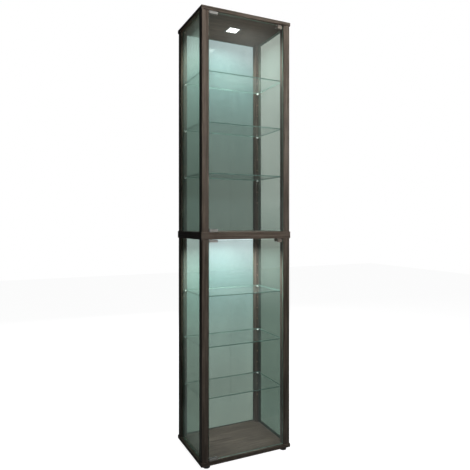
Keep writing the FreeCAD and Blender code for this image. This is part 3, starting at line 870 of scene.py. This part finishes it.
# ---- Hinges ----
def add_hinge_clamps():
    """Clamps over the doors' corners: rounded plates, a glass channel and grub screw holes."""
    material = metal("hinge_nickel", (0.24, 0.235, 0.22), 0.40, 0.52, (60, 900, 900), metallic=0.5)
    for end, out in (("bottom", -1), ("top", 1)):
        node = f"lower_door_clamp_{end}"
        low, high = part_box(node)
        pane_low, pane_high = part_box("lower_door_pane")
        body = block(f"{node}_body", low, high)
        bevel(body, settings().metal_round, 3, every_edge)
        edge = pane_high.z if out > 0 else pane_low.z
        mouth = low.z if out > 0 else high.z
        channel = block("channel", (low.x - MARGIN, pane_low.y - HINGE_LINER, edge + out * HINGE_LINER),
                        (high.x + MARGIN, pane_high.y + HINGE_LINER, mouth - out * MARGIN))
        cut(body, channel)
        grubs_low, grubs_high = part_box("lower_door_clamp_screws")
        z = grubs_high.z - GRUB if out > 0 else grubs_low.z + GRUB
        for x in (grubs_low.x + GRUB, grubs_high.x - GRUB):
            cut(body,
                rod("grub", GRUB_HOLE, (x, pane_high.y + HINGE_LINER - MARGIN / 2, z),
                    (x, high.y + MARGIN, z)))
        dress(soften(body, 30), material)
        twin = copy(body, f"upper_door_clamp_{end}_body", (0, 0, STOREY_STEP))
        place(body, node, "lower_door")
        place(twin, f"upper_door_clamp_{end}", "upper_door")


# ---- Catches ----
CATCH_ROUND = 1.4 * MM
KEEPER = 1.6 * MM


def add_catches():
    clip_metal = metal("strike_nickel", (0.22, 0.19, 0.16), 0.42, 0.55, (60, 900, 900), metallic=0.6)
    shell = plastic("catch_brown", (0.075, 0.062, 0.053), 0.45)
    low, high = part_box("lower_door_strike_clip")
    pane_low, pane_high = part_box("lower_door_pane")
    clip = block("lower_door_strike_clip_bent", low, high)
    bevel(clip, settings().metal_round, 2,
          lambda edge: runs_along(X)(edge) and edge.verts[0].co.z > high.z - MARGIN)
    cut(clip,
        block("slot", (low.x - MARGIN, pane_low.y, low.z - MARGIN),
              (high.x + MARGIN, pane_high.y, pane_high.z)))
    dress(soften(clip, 30), clip_metal)
    upper_clip = copy(clip, "upper_door_strike_clip_bent", (0, 0, STOREY_STEP))
    place(clip, "lower_door_strike_clip", "lower_door")
    place(upper_clip, "upper_door_strike_clip", "upper_door")

    low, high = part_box("lower_catch_housing")
    magnets_low, magnets_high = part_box("catch_magnets")
    magnet_top = magnets_high.z - STOREY_STEP
    housing = block("lower_catch_housing_moulded", low, high)
    bevel(housing, CATCH_ROUND, 3, runs_along(Z))
    bevel(housing, CATCH_ROUND / 2, 2, rim_at(Z, low.z))
    cut(housing, block("pocket", (magnets_low.x, low.y - MARGIN, magnets_low.z),
                       (magnets_high.x, magnets_high.y, magnet_top)))
    inset = (high.x - low.x + magnets_high.x - magnets_low.x) / 4
    middle = (low + high) / 2
    for sign in (-1, 1):
        cut(housing, rod("screw", 1.5 * MM, (middle.x + sign * inset, middle.y, low.z - MARGIN),
                         (middle.x + sign * inset, middle.y, high.z + MARGIN), sides=24))
    dress(soften(housing, 30), shell)
    twin = copy(housing, "upper_catch_housing_moulded", (0, 0, STOREY_STEP))
    place(housing, "lower_catch_housing")
    place(twin, "upper_catch_housing")

    front, back = magnets_low.y, magnets_high.y
    steel, ferrite = finishes()["screw_steel"], finishes()["magnet"]
    top, bottom = magnet_top, magnets_low.z
    parts = []
    for start, stop, material in ((bottom, bottom + KEEPER, steel),
                                  (bottom + KEEPER, top - KEEPER, ferrite),
                                  (top - KEEPER, top, steel)):
        recess = 0.0 if material is steel else 0.5 * MM
        part = block("magnet", (magnets_low.x, front + recess, start), (magnets_high.x, back, stop))
        parts.append(dress(bevel(part, 0.2 * MM, 2, every_edge), material))
    lower = join("magnet", *parts)
    upper = copy(lower, "magnet", (0, 0, STOREY_STEP))
    place(soften(join("catch_magnets_keepers", lower, upper), 30), "catch_magnets")


# ---- Lamps ----
BEZEL_ROUND = 3.0 * MM


def add_lamps():
    low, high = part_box("lower_lamp_housing")
    glass_low, glass_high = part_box("lower_lamp_diffuser")
    board_z = CEILING_Z["lower"]
    lip = 1 * MM
    window_low = Vector((glass_low.x + lip, glass_low.y + lip, low.z - MARGIN))
    window_high = Vector((glass_high.x - lip, glass_high.y - lip, board_z + MARGIN))
    bezel = block("bezel", low, (high.x, high.y, board_z))
    bevel(bezel, BEZEL_ROUND, 5, runs_along(Z))
    bevel(bezel, 0.6 * MM, 3, rim_at(Z, low.z))
    cut(bezel, block("window", window_low, window_high))
    inner_rim = glass_high.x
    bevel(bezel, 0.4 * MM, 2, lambda edge: rim_at(Z, low.z)(edge) and max(
        abs(vertex.co[axis]) for vertex in edge.verts for axis in (X, Y)) < inner_rim)
    can_half = glass_high.x + LAMP_CAN
    can = block("can", (-can_half, -can_half, board_z), (can_half, can_half, high.z))
    hollow = can_half - LAMP_WALL
    cut(can, block("hollow", (-hollow, -hollow, board_z - MARGIN), (hollow, hollow, high.z - LAMP_WALL)))
    housing = soften(join("lower_lamp_housing_square", bezel, can), 30)
    dress(housing, metal("lamp_bronze", (0.16, 0.15, 0.14), 0.32, 0.45, (700, 60, 700), metallic=0.9))
    twin = copy(housing, "upper_lamp_housing_square", (0, 0, STOREY_STEP))
    place(housing, "lower_lamp_housing")
    place(twin, "upper_lamp_housing")

    window = block("window", (window_low.x, window_low.y, glass_low.z),
                   (window_high.x, window_high.y, board_z))
    bevel(window, 0.5 * MM, 3, rim_at(Z, glass_low.z))
    seat = block("seat", (glass_low.x, glass_low.y, board_z), glass_high)
    bevel(seat, 0.2 * MM, 2, runs_along(Z))
    diffuser = dress(soften(join("lower_lamp_diffuser_opal", window, seat), 30), opal())
    twin = copy(diffuser, "upper_lamp_diffuser_opal", (0, 0, STOREY_STEP))
    place(diffuser, "lower_lamp_diffuser")
    place(twin, "upper_lamp_diffuser")


# ---- Feet and caps ----
FOOT_RADIUS = 15 * MM
FOOT_CHAMFER = 1.5 * MM
FOOT_RECESS = 5 * MM
FOOT_HEAD = 4 * MM


def add_feet():
    low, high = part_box("feet")
    x, y = high.x - FOOT_RADIUS, high.y - FOOT_RADIUS
    foot = rod("foot", FOOT_RADIUS, (0, 0, low.z), (0, 0, high.z), sides=64)
    bevel(foot, FOOT_CHAMFER, 3, rim_at(Z, low.z))
    bevel(foot, 0.5 * MM, 2, rim_at(Z, high.z))
    pick(foot, "FACE", faces_along(Z, -1))
    bpy.ops.mesh.inset(thickness=FOOT_RADIUS - FOOT_CHAMFER - FOOT_HEAD)
    bpy.ops.mesh.extrude_region_move(TRANSFORM_OT_translate={"value": (0, 0, FOOT_RECESS)})
    done()
    copies = [copy(foot, "foot", (sx * x, sy * y, 0)) for sx, sy in corner_signs()]
    use(foot)
    bpy.ops.object.delete()
    feet = dress(soften(join("feet_glides", *copies), 30),
                 plastic("foot_black", (0.022, 0.022, 0.022), 0.42))
    place(feet, "feet")


def add_screw_caps():
    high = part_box("screw_caps")[1]
    x, y = high.x - CAP_RADIUS, high.y - CAP_RADIUS
    cap = rod("cap", CAP_RADIUS - 0.1 * MM, (0, 0, high.z - CAP), (0, 0, high.z), sides=48)
    bevel(cap, 0.3 * MM, 3, rim_at(Z, high.z))
    caps = [copy(cap, "cap", (sx * x, sy * y, 0)) for sx, sy in corner_signs()]
    use(cap)
    bpy.ops.object.delete()
    place(dress(soften(join("screw_caps_domed", *caps), 30), finishes()["cap_plastic"]), "screw_caps")


# ---- Frame nodes that are shown as they are ----
def finish_frame_nodes():
    slots = {row["node"]: row["material_slot"] for row in frame["record"]["subparts"]}
    for name, obj in frame["nodes"].items():
        if not obj.hide_render:
            dress(obj, finishes()[slots[name]])


# ---- Studio ----
def studio_light(name, place_at, aim, size, power, colour=(1, 1, 1)):
    """A rectangular light that lights the pieces but is never seen itself, not even mirrored."""
    use()
    bpy.ops.object.light_add(type="AREA", location=place_at)
    lamp = bpy.context.object
    lamp.name = name
    lamp.rotation_euler = (Vector(aim) - Vector(place_at)).to_track_quat("-Z", "Y").to_euler()
    lamp.data.shape = "RECTANGLE"
    lamp.data.size, lamp.data.size_y = size
    lamp.data.energy = power
    lamp.data.color = colour
    lamp.visible_camera = False
    lamp.visible_glossy = False
    lamp.visible_transmission = False
    return lamp


def surroundings():
    """White to the camera, with a much weaker even light for every other ray."""
    world = bpy.data.worlds.new("studio")
    bpy.context.scene.world = world
    world.use_nodes = True
    tree = world.node_tree
    tree.nodes.clear()
    path = tree.nodes.new("ShaderNodeLightPath")
    white = tree.nodes.new("ShaderNodeBackground")
    soft = tree.nodes.new("ShaderNodeBackground")
    mix = tree.nodes.new("ShaderNodeMixShader")
    output = tree.nodes.new("ShaderNodeOutputWorld")
    white.inputs["Color"].default_value = (1, 1, 1, 1)
    soft.inputs["Color"].default_value = (0.94, 0.98, 1, 1)
    soft.inputs["Strength"].default_value = settings().fill
    tree.links.new(path.outputs["Is Camera Ray"], mix.inputs[0])
    tree.links.new(soft.outputs[0], mix.inputs[1])
    tree.links.new(white.outputs[0], mix.inputs[2])
    tree.links.new(mix.outputs[0], output.inputs["Surface"])


def floor_material():
    """Pale to the camera but dark to every other ray, so that it throws little light on the cabinet."""
    tree = Tree("pale_floor")
    cloud = tree.noise(tree.place((1.5, 1.5, 1.5)), 1.0, 2.0)
    colour = tree.ramp(cloud, (0.3, grey(0.86)), (0.7, grey(0.90)))
    lit = tree.add("BsdfDiffuse", {"Color": colour}).outputs[0]
    glow = tree.add("Emission", {"Color": (1, 1, 1, 1), "Strength": 1.22}).outputs[0]
    pale = tree.add("MixShader", {0: 0.78, 1: lit, 2: glow}).outputs[0]
    dark = tree.add("BsdfDiffuse", {"Color": (0.12, 0.12, 0.12, 1)}).outputs[0]
    seen = tree.add("LightPath").outputs["Is Camera Ray"]
    return tree.finish(tree.add("MixShader", {0: seen, 1: dark, 2: pale}).outputs[0])


def add_studio():
    own = settings()
    use()
    bpy.ops.mesh.primitive_plane_add(size=14, location=(0, 0, 0))
    floor = settle(bpy.context.object, "studio_floor")
    dress(floor, floor_material())
    surroundings()
    studio_light("key_light", *KEY_LIGHT, own.key_power)
    side = studio_light("side_light", *SIDE_LIGHT, own.side_power)
    side.data.spread = math.radians(SIDE_SPREAD)
    studio_light("rear_light", *REAR_LIGHT, own.rear_power)
    studio_light("flank_light", *FLANK_LIGHT, own.flank_power)
    for storey, ceiling in CEILING_Z.items():
        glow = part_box(f"{storey}_lamp_diffuser")
        size = (glow[1].x * LAMP_WIDENING, glow[1].y * LAMP_WIDENING)
        lamp = studio_light(f"{storey}_lamp_light", (0, 0, ceiling - LAMP_GAP), (0, 0, 0), size,
                            own.lamp_power, own.lamp_colour)
        lamp.data.spread = math.radians(LAMP_SPREAD)
        studio_light(f"{storey}_bounce_light", (0, 0, FLOOR_Z[storey] + BOUNCE_HEIGHT), (0, 0, ceiling),
                     BOUNCE_SIZE, own.bounce_power, BOUNCE_COLOUR)
        studio_light(f"{storey}_floor_light", (0, 0, FLOOR_Z[storey] + WASH_HEIGHT), (0, 0, 0),
                     BOUNCE_SIZE, own.wash_power, WASH_COLOUR)
    use()
    bpy.ops.object.camera_add(location=own.camera_place, rotation=(math.pi / 2, 0, own.camera_turn))
    camera = bpy.context.object
    camera.name = "studio_camera"
    camera.data.sensor_width = 36
    camera.data.lens = own.camera_lens
    camera.data.shift_y = own.camera_rise
    scene = bpy.context.scene
    scene.camera = camera
    scene.view_settings.view_transform = "Standard"
    scene.cycles.transparent_max_bounces = 32


# ---- Operators ----
class CABINET_OT_boards(bpy.types.Operator):
    """Build the four laminated boards with their edge bands, grooves and screw holes"""
    bl_idname = "cabinet.boards"
    bl_label = "Boards"

    def execute(self, context):
        add_board(FLOORS["lower"], FLOORS["upper"], STOREY_STEP)
        add_board(CEILINGS["upper"], CEILINGS["lower"], -STOREY_STEP)
        return {"FINISHED"}


class CABINET_OT_posts(bpy.types.Operator):
    """Build the eight wrapped posts with their grooves and shelf holes"""
    bl_idname = "cabinet.posts"
    bl_label = "Posts"

    def execute(self, context):
        for end in ENDS:
            for side in SIDES:
                add_post(end, side)
        return {"FINISHED"}


class CABINET_OT_panes(bpy.types.Operator):
    """Build the fixed side and rear glass of both storeys"""
    bl_idname = "cabinet.panes"
    bl_label = "Fixed glass"

    def execute(self, context):
        add_fixed_panes()
        return {"FINISHED"}


class CABINET_OT_shelves(bpy.types.Operator):
    """Build the six glass shelves"""
    bl_idname = "cabinet.shelves"
    bl_label = "Shelves"

    def execute(self, context):
        add_shelf_plates()
        return {"FINISHED"}


class CABINET_OT_shelf_pins(bpy.types.Operator):
    """Build the pins that carry the shelves"""
    bl_idname = "cabinet.shelf_pins"
    bl_label = "Shelf pins"

    def execute(self, context):
        add_shelf_pins()
        return {"FINISHED"}


class CABINET_OT_doors(bpy.types.Operator):
    """Build the two frameless glass doors"""
    bl_idname = "cabinet.doors"
    bl_label = "Glass doors"

    def execute(self, context):
        add_doors()
        return {"FINISHED"}


class CABINET_OT_hinges(bpy.types.Operator):
    """Build the hinge clamps on the doors' corners"""
    bl_idname = "cabinet.hinges"
    bl_label = "Hinge clamps"

    def execute(self, context):
        add_hinge_clamps()
        return {"FINISHED"}


class CABINET_OT_catches(bpy.types.Operator):
    """Build the magnetic catches and the doors' strike clips"""
    bl_idname = "cabinet.catches"
    bl_label = "Catches"

    def execute(self, context):
        add_catches()
        return {"FINISHED"}


class CABINET_OT_lamps(bpy.types.Operator):
    """Build the recessed lamps with their bezels and lit diffusers"""
    bl_idname = "cabinet.lamps"
    bl_label = "Lamps"

    def execute(self, context):
        add_lamps()
        return {"FINISHED"}


class CABINET_OT_feet(bpy.types.Operator):
    """Build the four round glides"""
    bl_idname = "cabinet.feet"
    bl_label = "Feet"

    def execute(self, context):
        add_feet()
        return {"FINISHED"}


class CABINET_OT_screw_caps(bpy.types.Operator):
    """Build the caps over the screws in the top"""
    bl_idname = "cabinet.screw_caps"
    bl_label = "Screw caps"

    def execute(self, context):
        add_screw_caps()
        return {"FINISHED"}


class CABINET_OT_hidden_fittings(bpy.types.Operator):
    """Finish the dowels, screws, bushes and other fittings that keep their frame shape"""
    bl_idname = "cabinet.hidden_fittings"
    bl_label = "Hidden fittings"

    def execute(self, context):
        finish_frame_nodes()
        return {"FINISHED"}


class CABINET_OT_studio(bpy.types.Operator):
    """Set up the floor, the lights, the surroundings and the camera"""
    bl_idname = "cabinet.studio"
    bl_label = "Studio"

    def execute(self, context):
        add_studio()
        return {"FINISHED"}


STEPS = (
    CABINET_OT_boards, CABINET_OT_posts, CABINET_OT_panes, CABINET_OT_shelves, CABINET_OT_shelf_pins,
    CABINET_OT_doors, CABINET_OT_hinges, CABINET_OT_catches, CABINET_OT_lamps, CABINET_OT_feet,
    CABINET_OT_screw_caps, CABINET_OT_hidden_fittings, CABINET_OT_studio,
)


class CABINET_PT_steps(bpy.types.Panel):
    """Settings and building steps of the cabinet"""
    bl_idname = "CABINET_PT_steps"
    bl_label = "Display Cabinet"
    bl_space_type = "VIEW_3D"
    bl_region_type = "UI"
    bl_category = "Cabinet"

    def draw(self, context):
        own = context.scene.cabinet
        column = self.layout.column(align=True)
        for name in own.bl_rna.properties.keys():
            if name not in ("rna_type", "name"):
                column.prop(own, name)
        column = self.layout.column(align=True)
        for step in STEPS:
            column.operator(step.bl_idname)


CLASSES = (CabinetSettings, *STEPS, CABINET_PT_steps)


def register():
    for cls in CLASSES:
        bpy.utils.register_class(cls)
    bpy.types.Scene.cabinet = bpy.props.PointerProperty(type=CabinetSettings)


def unregister():
    del bpy.types.Scene.cabinet
    for cls in reversed(CLASSES):
        bpy.utils.unregister_class(cls)


def main():
    register()
    for step in STEPS:
        family, name = step.bl_idname.split(".")
        getattr(getattr(bpy.ops, family), name)()


if __name__ == "__main__":
    main()
